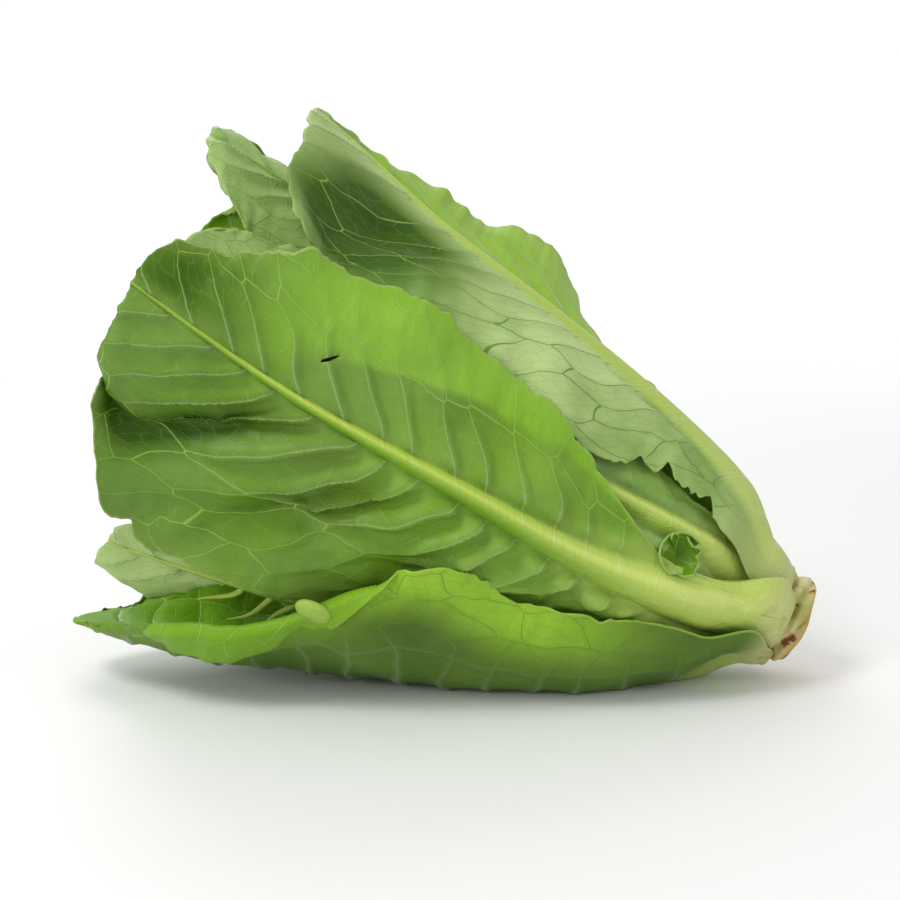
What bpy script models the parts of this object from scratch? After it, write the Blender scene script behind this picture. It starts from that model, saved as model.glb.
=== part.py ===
"""A head of romaine lettuce lying on its side.

The head is a short cut stem with its leaves still on it. Each leaf is one sheet with a thick rib,
laid over the leaves inside it, so the places are worked out in the head's own terms: the distance
along the head's axis from the cut end, the angle round that axis and the radius from it.
Angle 0 faces the front (-Y), 90 degrees the top, 180 degrees the back and -90 degrees the surface.
"""

import math
from dataclasses import dataclass

import bmesh
import bpy
import numpy as np

# Driving dimensions, in metres and degrees
AXIS_TILT = math.radians(25.5)  # the axis rises this much from the butt to the leaf tips
BUTT = np.array((0.1403, 0.0008, 0.0215))  # centre of the stem's cut end
BLADE = 0.0009  # thickness of a leaf beside its rib
GAP = 0.0004  # clear space between a leaf's foot and the stem
LAYER_GAP = 0.0016  # least clear space between two leaves
LAYER_EASE = 0.0030  # how gently a leaf rides up over the one inside it
PRESSED = 0.0002  # what hangs lower than this over the surface is flat on it

# The stem inside the leaves: a stub that tapers to the growing point
STEM_RADIUS = 0.0165
STEM_SHOULDER = 0.010  # where the taper starts, from the cut end
STEM_LENGTH = 0.058
STEM_TIP_RADIUS = 0.0025
SCAR_HEIGHT = 0.0007  # rings left by the leaves that were trimmed off

# The envelope of the closed head: radius = CORE + SWELL * (1 - exp(-s / RUN)) + spread * s
CORE = 0.010
SWELL = 0.034
RUN = 0.055
SPREAD_FRONT = 0.100
SPREAD_TOP = 0.205
SPREAD_BACK = 0.110
SPREAD_BOTTOM = 0.270

# The stack of leaves, kept as the greatest radius used so far over a grid of length and angle
STACK_STEP = 0.0025
STACK_ROWS = 132
STACK_COLUMNS = 120
STACK_REACH = 2  # cells by which a leaf's edge is felt by the leaf laid over it


# The common outline: share of the length, and half width as a share of the greatest
COMMON_OUTLINE = ((0.12, 0.30), (0.30, 0.62), (0.50, 0.90), (0.66, 1.00), (0.83, 0.92), (0.94, 0.70),
                  (1.00, 0.45))


def common(widest):
    """The common outline at this greatest half width."""
    return tuple((share, widest * width) for share, width in COMMON_OUTLINE)


@dataclass
class Leaf:
    """One leaf. low and high are its edges on the rib's side of falling and of rising angle, each
    as pairs of a share of the length and a half width in metres."""

    name: str
    path: tuple  # of the rib, as pairs of a share of the length and an angle in degrees
    start: float  # of the foot, along the axis
    reach: float  # of the tip, along the axis
    openness: float  # share of the envelope's radius
    low: tuple
    high: tuple
    drop_low: float = 0.012  # how far the corners of the tip stand back
    drop_high: float = 0.012
    flare_low: float = 0.0  # share of the radius that the edge stands out
    flare_high: float = 0.0
    flare_middle: float = 0.60  # share of the length where the edge stands out most
    curl: float = 0.0  # share of the radius that the tip stands out
    ruffle: float = 0.004  # height of the waves at the edge
    waves: float = 4.0  # waves along each edge
    phase: float = 0.0
    rib_width: float = 0.010  # half width of the rib near its foot
    rib_height: float = 0.0050
    crease: tuple = ()  # share of the length at the rib and at the low edge, depth
    rows: int = 16
    blade_columns: int = 3
    colour: tuple = (0.20, 0.42, 0.05)


LEAVES = [  # from the heart outwards, in the order in which they are laid
    Leaf("heart_leaf_1", ((0, 20), (1, 30)), 0.048, 0.165, 0.20, common(0.016), common(0.016), curl=0.3,
         ruffle=0.002, rib_width=0.0032, rib_height=0.0020, rows=10, blade_columns=2,
         colour=(0.62, 0.74, 0.25)),
    Leaf("heart_leaf_2", ((0, 200), (1, 190)), 0.045, 0.180, 0.33, common(0.022), common(0.022), curl=0.2,
         ruffle=0.002, rib_width=0.0040, rib_height=0.0024, rows=10, blade_columns=2,
         colour=(0.58, 0.72, 0.22)),
    Leaf("heart_leaf_3", ((0, -55), (1, -45)), 0.042, 0.195, 0.42, common(0.028), common(0.028), curl=0.2,
         ruffle=0.003, rib_width=0.0048, rib_height=0.0026, rows=12, blade_columns=2,
         colour=(0.52, 0.70, 0.18)),
    Leaf("heart_leaf_4", ((0, 85), (1, 93)), 0.039, 0.215, 0.50, common(0.034), common(0.034), curl=0.2,
         ruffle=0.003, rib_width=0.0054, rib_height=0.0028, rows=12, blade_columns=2,
         colour=(0.46, 0.66, 0.15)),
    Leaf("inner_leaf_back", ((0, 170), (1, 162)), 0.036, 0.240, 0.60, common(0.045), common(0.050),
         rib_width=0.0064, rib_height=0.0032, rows=14, colour=(0.30, 0.54, 0.10)),
    Leaf("inner_leaf_low", ((0, -115), (1, -107)), 0.033, 0.245, 0.68, common(0.050), common(0.050),
         rib_width=0.0068, rib_height=0.0034, rows=14, colour=(0.28, 0.52, 0.09)),
    Leaf("inner_leaf_front", ((0, -4), (1, 20)), 0.030, 0.290, 0.76, common(0.052), common(0.030),
         ruffle=0.003, waves=3, rib_width=0.0072, rib_height=0.0036, colour=(0.26, 0.50, 0.09)),
    Leaf("inner_leaf_top", ((0, 80), (1, 80)), 0.026, 0.289, 0.77, common(0.046), common(0.050),
         drop_low=0.004, phase=1.0, rib_width=0.0078, rib_height=0.0038, rows=18,
         colour=(0.30, 0.50, 0.14)),
    Leaf("torn_leaf", ((0, -66), (0.7, -66), (1, -61)), 0.023, 0.261, 0.88,
         ((0.12, 0.014), (0.35, 0.026), (0.52, 0.022), (0.62, 0.006), (0.80, 0.006),
          (0.88, 0.018), (1.00, 0.024)),
         common(0.040), drop_low=0.004, phase=2.0, rib_width=0.0082, rib_height=0.0040,
         colour=(0.28, 0.48, 0.13)),
    Leaf("second_leaf_back", ((0, -148), (1, -142)), 0.020, 0.270, 0.86, common(0.060),
         common(0.048), phase=1.5, rib_width=0.0092, rib_height=0.0044,
         colour=(0.24, 0.46, 0.08)),
    Leaf("second_leaf_front", ((0, 35), (0.5, 31), (1, 35)), 0.018, 0.279, 0.84, common(0.050),
         ((0.12, 0.012), (0.30, 0.018), (0.50, 0.022), (0.70, 0.024), (0.88, 0.022), (1.00, 0.014)),
         drop_high=0.004, phase=0.5, rib_width=0.0088, rib_height=0.0042,
         colour=(0.28, 0.48, 0.12)),
    Leaf("back_leaf", ((0, 173), (1, 164)), 0.014, 0.283, 0.93, common(0.064), common(0.066),
         flare_low=0.10, flare_high=0.06, phase=0.8, rows=18, colour=(0.20, 0.42, 0.06)),
    Leaf("top_leaf", ((0, 87), (1, 88)), 0.012, 0.258, 0.98,
         ((0.07, 0.0235), (0.13, 0.0280), (0.25, 0.0325), (0.35, 0.0450), (0.60, 0.0570),
          (0.85, 0.0666), (1.00, 0.0580)),
         ((0.15, 0.018), (0.40, 0.030), (0.58, 0.038), (0.70, 0.033), (0.85, 0.022), (1.00, 0.010)),
         drop_low=0.002, drop_high=0.012, flare_high=0.41, flare_middle=0.58, curl=0.07,
         rib_height=0.0055, rows=20, blade_columns=4, colour=(0.30, 0.50, 0.16)),
    Leaf("front_leaf", ((0, 4), (0.15, -2), (0.3, -2), (0.5, 4), (0.75, 10), (1, 20)), 0.009, 0.289,
         0.97,
         ((0.13, 0.0165), (0.30, 0.0288), (0.50, 0.0522), (0.62, 0.0660), (0.76, 0.0720),
          (0.86, 0.0775), (0.94, 0.0715), (1.00, 0.042)),
         ((0.13, 0.0100), (0.20, 0.0105), (0.27, 0.0170), (0.40, 0.0322), (0.50, 0.0365),
          (0.61, 0.0440), (0.77, 0.0418), (0.90, 0.0305), (1.00, 0.0185)),
         drop_low=0.002, drop_high=0.006, phase=0.3, rib_width=0.0095, rib_height=0.0060,
         crease=(0.66, 0.93, 0.008), rows=22, blade_columns=4, colour=(0.22, 0.46, 0.05)),
    Leaf("bottom_leaf", ((0, -90), (1, -90)), 0.006, 0.260, 1.12,
         ((0.16, 0.032), (0.40, 0.056), (0.60, 0.066), (0.82, 0.050), (1.00, 0.014)),
         ((0.16, 0.0605), (0.32, 0.0806), (0.44, 0.0879), (0.52, 0.1075), (0.61, 0.1030),
          (0.70, 0.0700), (0.88, 0.0476), (1.00, 0.0120)),
         curl=-0.05, rib_width=0.0110, rib_height=0.0060, rows=22, blade_columns=4,
         colour=(0.18, 0.40, 0.04)),
]

CUT_COLOUR = (0.62, 0.50, 0.26)
RIB_COLUMNS = 2  # columns of the sheet on each side of the rib's middle, inside the rib
PETIOLE = 0.82  # half width of a leaf's foot, as a share of the stem's radius there
CREASE_WIDTH = 0.035  # of a leaf's length


def smooth_step(low, high, value):
    """0 below low, 1 above high and smooth between."""
    share = np.clip((value - low) / (high - low), 0, 1)
    return share * share * (3 - 2 * share)


def smooth_max(a, b, ease):
    return (a + b + np.sqrt((a - b) ** 2 + ease**2)) / 2


def smooth_min(a, b, ease):
    return (a + b - np.sqrt((a - b) ** 2 + ease**2)) / 2


def place(along, angle, radius):
    """World position from the head's own coordinates."""
    cos_tilt, sin_tilt = math.cos(AXIS_TILT), math.sin(AXIS_TILT)
    rise = radius * np.sin(angle)
    x = BUTT[0] - along * cos_tilt + rise * sin_tilt
    y = BUTT[1] - radius * np.cos(angle)
    z = BUTT[2] + along * sin_tilt + rise * cos_tilt
    return np.stack((x, y, z), axis=-1)


def stem_radius(along):
    share = np.clip((along - STEM_SHOULDER) / (STEM_LENGTH - STEM_SHOULDER), 0, 1)
    return STEM_RADIUS + (STEM_TIP_RADIUS - STEM_RADIUS) * share


def envelope(along, angle):
    """Radius of the closed head's outer surface."""
    side = np.where(np.cos(angle) > 0, SPREAD_FRONT, SPREAD_BACK)
    pole = np.where(np.sin(angle) > 0, SPREAD_TOP, SPREAD_BOTTOM)
    toward_pole = np.abs(np.sin(angle)) ** np.where(np.sin(angle) > 0, 2, 4)
    spread = side + (pole - side) * toward_pole
    return CORE + SWELL * (1 - np.exp(-along / RUN)) + spread * along


def surface_radius(along, angle):
    """Radius at which the surface under the head is met, or a large one where it isn't."""
    fall = -np.sin(angle) * math.cos(AXIS_TILT)
    height = BUTT[2] + along * math.sin(AXIS_TILT)
    return np.where(fall > 0.2, height / np.maximum(fall, 0.2), 1.0)


def smooth_curve(points, at):
    """A smooth curve through the points, read at these places."""
    x, y = np.array(points).T
    slope = np.gradient(y, x)
    i = np.clip(np.searchsorted(x, at) - 1, 0, len(x) - 2)
    run = x[i + 1] - x[i]
    t = np.clip((at - x[i]) / run, 0, 1)
    bow = run * (slope[i] * (1 - t) - slope[i + 1] * t) + (y[i + 1] - y[i]) * (2 * t - 1)
    return y[i] * (1 - t) + y[i + 1] * t + t * (1 - t) * bow


def half_width(leaf, share, side):
    """Half width of the leaf on one side at a share of its length."""
    foot = (0, PETIOLE * float(stem_radius(leaf.start)))
    low, high = (smooth_curve((foot, *edge), share) for edge in (leaf.low, leaf.high))
    return np.where(side < 0, low, high)


def rib_half_width(leaf, share):
    foot = PETIOLE * stem_radius(leaf.start)
    slim = leaf.rib_width * (1 - share) ** 0.8 + 0.0012
    return foot + (slim - foot) * smooth_step(0, 0.12, share)


def thickness(leaf, share, across):
    """Thickness of the sheet, with the rib standing out on its outer face."""
    inside = np.clip(1 - (across / rib_half_width(leaf, share)) ** 2, 0, 1)
    height = leaf.rib_height * (1 - share) ** 0.7 * (0.5 + 0.5 * smooth_step(0, 0.09, share)) + 0.0008
    return BLADE + height * inside


def sheet(leaf, stack, share, side, step):
    """The leaf's inner face. step runs from 0 at the rib to 1 at the edge, in the unit of side."""
    across = side * step * half_width(leaf, share, side)
    drop = np.where(side < 0, leaf.drop_low, leaf.drop_high)
    along = leaf.start + (leaf.reach - leaf.start) * share - drop * share**4 * step**2
    rib_angle = np.radians(smooth_curve(leaf.path, share))
    rib_radius = leaf.openness * envelope(along, rib_angle)
    foot_radius = float(stem_radius(leaf.start)) + GAP
    leaving = smooth_step(0, 0.14, share)
    turn_radius = foot_radius + (np.maximum(rib_radius, foot_radius) - foot_radius) * leaving
    angle = rib_angle + across / turn_radius
    flare = np.where(side < 0, leaf.flare_low, leaf.flare_high) * step**2
    flare = flare * np.exp(-(((share - leaf.flare_middle) / 0.19) ** 2))
    flare = flare + leaf.curl * smooth_step(0.7, 1.0, share)
    wish = leaf.openness * envelope(along, angle) * (1 + flare)
    beat = 2 * math.pi * leaf.waves * share + leaf.phase + np.where(side < 0, 1.9, 0)
    wish = wish + leaf.ruffle * np.sin(beat) * step**2 * smooth_step(0.12, 0.4, share)
    if leaf.crease:
        at_rib, at_edge, depth = leaf.crease
        off = (share - at_rib - (at_edge - at_rib) * step) / CREASE_WIDTH
        fold = np.exp(-(off**2)) * smooth_step(0, 0.4, step)
        wish = wish - np.where(side < 0, depth * fold, 0)
    radius = foot_radius + (wish - foot_radius) * leaving
    laid = smooth_max(radius, stack.over(along, angle) + LAYER_GAP, LAYER_EASE)
    radius = radius + (laid - radius) * smooth_step(0, 0.03, share)
    radius = np.maximum(radius, stem_radius(along) + GAP)
    deep = thickness(leaf, share, across)
    radius = smooth_min(radius, surface_radius(along, angle) - deep, 0.0004)
    return along, angle, radius, across, deep


class Stack:
    """The greatest radius that the stem and the leaves laid so far reach, by length and angle."""

    def __init__(self):
        along = np.arange(STACK_ROWS) * STACK_STEP
        self.top = np.repeat(stem_radius(along)[:, None], STACK_COLUMNS, axis=1)
        self.top[along > STEM_LENGTH] = 0
        self.soft = self.top

    def cells(self, along, angle):
        row = np.clip(along / STACK_STEP, 0, STACK_ROWS - 1.001)
        column = (angle / (2 * math.pi) * STACK_COLUMNS) % STACK_COLUMNS
        return row, column

    def over(self, along, angle):
        """The softened stack at these places, interpolated."""
        row, column = self.cells(along, angle)
        i, j = np.floor(row).astype(int), np.floor(column).astype(int) % STACK_COLUMNS
        di, dj = row - np.floor(row), column - np.floor(column)
        near = self.soft[i, j] * (1 - dj) + self.soft[i, (j + 1) % STACK_COLUMNS] * dj
        far = self.soft[i + 1, j] * (1 - dj) + self.soft[i + 1, (j + 1) % STACK_COLUMNS] * dj
        return near * (1 - di) + far * di

    def lay(self, leaf):
        """Adds a leaf's outer face, then softens the stack for the next leaf."""
        share = np.linspace(0, 1, 240)[:, None]
        for side in (-1, 1):
            step = np.linspace(0, 1, 80)[None, :]
            along, angle, radius, _, deep = sheet(leaf, self, share, side, step)
            row, column = self.cells(along, angle)
            cells = np.rint(row).astype(int), np.rint(column).astype(int) % STACK_COLUMNS
            np.maximum.at(self.top, cells, radius + deep)
        self.soft = self.softened()

    def softened(self):
        field = self.top
        for axis in (0, 1):
            shifted = [np.roll(field, n, axis) for n in range(-STACK_REACH, STACK_REACH + 1)]
            field = np.max(shifted, axis=0)
        for axis in (0, 1):
            shifted = [np.roll(field, n, axis) for n in range(-STACK_REACH, STACK_REACH + 1)]
            field = np.mean(shifted, axis=0)
        return field


def new_material(name, colour, roughness):
    material = bpy.data.materials.new(name)
    material.use_nodes = True
    shader = material.node_tree.nodes["Principled BSDF"]
    shader.inputs["Base Color"].default_value = (*colour, 1)
    shader.inputs["Roughness"].default_value = roughness
    shader.inputs["Metallic"].default_value = 0
    material.diffuse_color = (*colour, 1)
    return material


def add_leaf(leaf, stack, collection):
    """A grid bent to the leaf's inner face, then thickened outwards to its blade and rib."""
    middle = RIB_COLUMNS + leaf.blade_columns
    sheet_mesh = bmesh.new()
    bmesh.ops.create_grid(sheet_mesh, x_segments=2 * middle, y_segments=leaf.rows, size=1)
    places = np.array([vertex.co for vertex in sheet_mesh.verts])
    column = np.rint(places[:, 0] * middle)
    share = (places[:, 1] + 1) / 2
    side = np.where(column < 0, -1.0, 1.0)
    width = half_width(leaf, share, side)
    rib_step = np.minimum(rib_half_width(leaf, share) / width, 0.6)
    count = np.abs(column)
    in_blade = np.clip((count - RIB_COLUMNS) / leaf.blade_columns, 0, 1)
    step = rib_step * np.minimum(count / RIB_COLUMNS, 1) + (1 - rib_step) * in_blade
    along, angle, radius, _, deep = sheet(leaf, stack, share, side, step)
    for vertex, position in zip(sheet_mesh.verts, place(along, angle, radius)):
        vertex.co = position
    bmesh.ops.triangulate(sheet_mesh, faces=sheet_mesh.faces)
    mesh = bpy.data.meshes.new(leaf.name)
    sheet_mesh.to_mesh(mesh)
    sheet_mesh.free()
    obj = bpy.data.objects.new(leaf.name, mesh)
    collection.objects.link(obj)
    thick = obj.vertex_groups.new(name="thickness")
    deepest = float(deep.max())
    for index, value in enumerate(deep):
        thick.add([index], float(value) / deepest, "REPLACE")
    solidify = obj.modifiers.new("Blade and rib", "SOLIDIFY")
    solidify.thickness = deepest
    solidify.offset = 1
    solidify.vertex_group = thick.name
    mesh.materials.append(new_material(leaf.name, leaf.colour, 0.45))
    return obj


def press_flat(obj):
    """Makes a leaf's modifiers real and presses its rib flat where it meets the surface."""
    graph = bpy.context.evaluated_depsgraph_get()
    mesh = bpy.data.meshes.new_from_object(obj.evaluated_get(graph))
    for vertex in mesh.vertices:
        vertex.co.z = vertex.co.z if vertex.co.z > PRESSED else 0
    obj.modifiers.clear()
    obj.data = mesh


def add_stem(collection):
    """The cut stub, turned about the head's axis, with the scars of trimmed leaves as rings."""
    taper = 8
    profile = [(0, STEM_LENGTH)]
    for n in range(taper, -1, -1):
        along = STEM_SHOULDER + (STEM_LENGTH - STEM_SHOULDER) * n / taper
        profile.append((float(stem_radius(along)), along))
    for n in range(4):
        along = STEM_SHOULDER * (3.5 - n) / 4
        profile.append((STEM_RADIUS - (SCAR_HEIGHT if n % 2 else 0), along))
    profile.append((STEM_RADIUS * 0.93, 0))
    profile.append((0, 0))
    mesh = bpy.data.meshes.new("stem")
    points = [(radius, 0, along) for radius, along in profile]
    mesh.from_pydata(points, [(n, n + 1) for n in range(len(points) - 1)], [])
    obj = bpy.data.objects.new("stem", mesh)
    collection.objects.link(obj)
    screw = obj.modifiers.new("Turn", "SCREW")
    screw.steps = screw.render_steps = 20
    screw.use_merge_vertices = True
    screw.merge_threshold = 0.0001
    obj.rotation_euler = (0, AXIS_TILT - math.pi / 2, 0)
    obj.location = BUTT
    mesh.materials.append(new_material("stem", CUT_COLOUR, 0.7))
    return obj


def main():
    for obj in list(bpy.data.objects):
        bpy.data.objects.remove(obj)
    head = bpy.data.collections.new("romaine_lettuce_head")
    bpy.context.scene.collection.children.link(head)
    add_stem(head)
    stack = Stack()
    for leaf in LEAVES:
        add_leaf(leaf, stack, head)
        stack.lay(leaf)
    press_flat(bpy.data.objects["bottom_leaf"])


main()
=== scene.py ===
# Romaine lettuce head on a plain table: fine leaves with ribs, veins and waved edges round a cut stem.
# Places are worked out in the head's own terms: the distance along its axis from the cut end, the
# angle round that axis (0 the front, 90 the top, 180 the back, -90 the table) and the radius from it.

import math
from types import SimpleNamespace

import bmesh
import bpy
import numpy as np
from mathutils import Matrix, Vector


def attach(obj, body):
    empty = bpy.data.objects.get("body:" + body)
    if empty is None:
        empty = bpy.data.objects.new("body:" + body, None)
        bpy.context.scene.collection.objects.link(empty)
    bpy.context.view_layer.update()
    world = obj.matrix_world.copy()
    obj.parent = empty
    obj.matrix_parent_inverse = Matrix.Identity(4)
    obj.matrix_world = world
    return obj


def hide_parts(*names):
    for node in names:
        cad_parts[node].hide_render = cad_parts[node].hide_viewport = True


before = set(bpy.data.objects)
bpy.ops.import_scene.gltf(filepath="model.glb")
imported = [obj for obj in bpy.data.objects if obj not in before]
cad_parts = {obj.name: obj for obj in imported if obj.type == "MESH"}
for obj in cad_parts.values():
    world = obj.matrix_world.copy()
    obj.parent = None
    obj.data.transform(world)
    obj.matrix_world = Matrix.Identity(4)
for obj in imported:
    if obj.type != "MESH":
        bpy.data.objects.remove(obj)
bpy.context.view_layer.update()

# The shape of the head

headShape = {
    "tilt": math.radians(25.5),  # the axis rises this much towards the leaf tips
    "butt": (0.1403, 0.0008, 0.0215),  # centre of the cut end
    "core": 0.010,  # radius of the closed head: core + swell * (1 - exp(-along / run)) + spread * along
    "swell": 0.034,
    "run": 0.055,
    "spreadFront": 0.100,
    "spreadTop": 0.205,
    "spreadBack": 0.110,
    "spreadBottom": 0.270,
    "stemRadius": 0.0165,
    "stemShoulder": 0.010,
    "stemLength": 0.058,
    "stemTip": 0.0025,
    "petiole": 0.82,  # half width of a leaf's foot, as a share of the stem's radius
    "blade": 0.0008,  # thickness of a leaf beside its rib
    "ribLeast": 0.0008,  # half width of a rib at the tip, and its height there
    "ribTip": 0.0005,
    "gap": 0.0004,
    "layerGap": 0.0014,
    "layerEase": 0.0026,
    "tableEase": 0.0004,
    "lowestOuter": 0.00005,  # height over the table under which neither face of a leaf hangs
    "lowestInner": 0.0007,
}
head = SimpleNamespace(**headShape)


def smoothStep(low, high, value):
    share = np.clip((value - low) / (high - low), 0, 1)
    return share * share * (3 - 2 * share)


def held(begin, full, fade, end, value):
    # 1 from full to fade, 0 before begin and after end
    return smoothStep(begin, full, value) * (1 - smoothStep(fade, end, value))


def smoothMost(a, b, ease):
    return (a + b + np.sqrt((a - b) ** 2 + ease**2)) / 2


def smoothLeast(a, b, ease):
    return (a + b - np.sqrt((a - b) ** 2 + ease**2)) / 2


def wander(seed, value):
    # smooth noise from -1 to 1 with a wavelength of about 1
    draw = np.random.default_rng(seed)
    total = 0 * value
    for pitch in (0.61, 1.0, 1.43, 2.07):
        turns = value * pitch * draw.uniform(0.85, 1.15) + draw.uniform()
        total = total + np.sin(2 * math.pi * turns) / pitch**0.7
    return total / 2.6


def place(along, angle, radius):
    cosTilt, sinTilt = math.cos(head.tilt), math.sin(head.tilt)
    rise = radius * np.sin(angle)
    x = head.butt[0] - along * cosTilt + rise * sinTilt
    y = head.butt[1] - radius * np.cos(angle)
    z = head.butt[2] + along * sinTilt + rise * cosTilt
    return np.stack((x, y, z), axis=-1)


def stemRadius(along):
    share = np.clip((along - head.stemShoulder) / (head.stemLength - head.stemShoulder), 0, 1)
    return head.stemRadius + (head.stemTip - head.stemRadius) * share


def envelope(along, angle):
    side = np.where(np.cos(angle) > 0, head.spreadFront, head.spreadBack)
    pole = np.where(np.sin(angle) > 0, head.spreadTop, head.spreadBottom)
    toPole = np.abs(np.sin(angle)) ** np.where(np.sin(angle) > 0, 2, 4)
    spread = side + (pole - side) * toPole
    return head.core + head.swell * (1 - np.exp(-along / head.run)) + spread * along


def tableRadius(along, angle):
    # where the table is met, or far off where it isn't
    fall = -np.sin(angle) * math.cos(head.tilt)
    height = head.butt[2] + along * math.sin(head.tilt)
    return np.where(fall > 0.2, height / np.maximum(fall, 0.2), 1.0)


def smoothCurve(points, at):
    x, y = np.array(points).T
    slope = np.gradient(y, x)
    i = np.clip(np.searchsorted(x, at) - 1, 0, len(x) - 2)
    run = x[i + 1] - x[i]
    t = np.clip((at - x[i]) / run, 0, 1)
    bow = run * (slope[i] * (1 - t) - slope[i + 1] * t) + (y[i + 1] - y[i]) * (2 * t - 1)
    return y[i] * (1 - t) + y[i + 1] * t + t * (1 - t) * bow


# The leaves, from the heart outwards, in the order in which they are laid

plainOutline = ((0.12, 0.30), (0.30, 0.62), (0.50, 0.90), (0.66, 1.00), (0.83, 0.92), (0.94, 0.70),
                (1.00, 0.45))


def plain(widest):
    return tuple((share, widest * width) for share, width in plainOutline)


leafDefaults = {
    "dropLow": 0.012,  # how far the corners of the tip stand back
    "dropHigh": 0.012,
    "tipRound": 0.006,
    "flareLow": 0.0,  # share of the radius that the edge stands out
    "flareHigh": 0.0,
    "flareMiddle": 0.60,
    "flareReach": 0.19,
    "curl": 0.0,
    "ruffle": 0.004,  # height of the long waves at the edge
    "waves": 4.0,
    "frill": 0.0012,  # height of the short waves at the edge
    "phase": 0.0,
    "ribWidth": 0.010,
    "ribHeight": 0.0050,
    "footRun": 0.22,  # share of the length over which the foot narrows to the rib
    "folds": (),  # side, share of the length at the rib and at the edge, depth, width, painted shade; a fold without depth only paints shade
    "rolls": (),  # side, four shares of the length from its start to its end, radius, extra width, turn
    "ragged": (),  # side, share of the length from and to, depth, pitch
    "holes": (),  # side, share of the length and of the width, half of each, slant
    "ears": (),  # curled lobes on the high edge: share of the length and width, radius, height, if domed
    "stubs": (),  # bare veins on the low side of the rib: share of the length, reach out and tipwards
    "calm": 1.0,  # share of the length from where the pleats flatten out
    "lobe": 0.0014,  # how far the outline wanders
    "tooth": 0.0004,
    "quiltLow": 0.5,  # how deep the blade is quilted between its veins, on either side
    "quiltHigh": 0.5,
    "ridge": 1.0,  # how high the veins stand out
    "grain": 0.0016,  # size of the mesh's squares
    "veins": {},  # what differs from veinShape
}

heartLook = {"blade": (0.36, 0.50, 0.075), "tip": (0.25, 0.43, 0.045), "margin": (0.45, 0.60, 0.09),
             "inner": (0.33, 0.50, 0.055), "rib": (0.66, 0.72, 0.30), "vein": (0.60, 0.70, 0.25),
             "bloom": 0.10}
innerLook = {"blade": (0.16, 0.31, 0.040), "tip": (0.13, 0.28, 0.028), "margin": (0.26, 0.44, 0.06),
             "bloom": 0.25}


def simpleLeaf(name, angles, run, openness, widths, rib, look, **more):
    # a leaf of the plain outline, with its rib's angle and place along the axis at the foot and the tip
    return dict(name=name, path=((0, angles[0]), (1, angles[1])), start=run[0], reach=run[1],
                openness=openness, low=plain(widths[0]), high=plain(widths[1]), ribWidth=rib[0],
                ribHeight=rib[1], look=look, **more)


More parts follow.
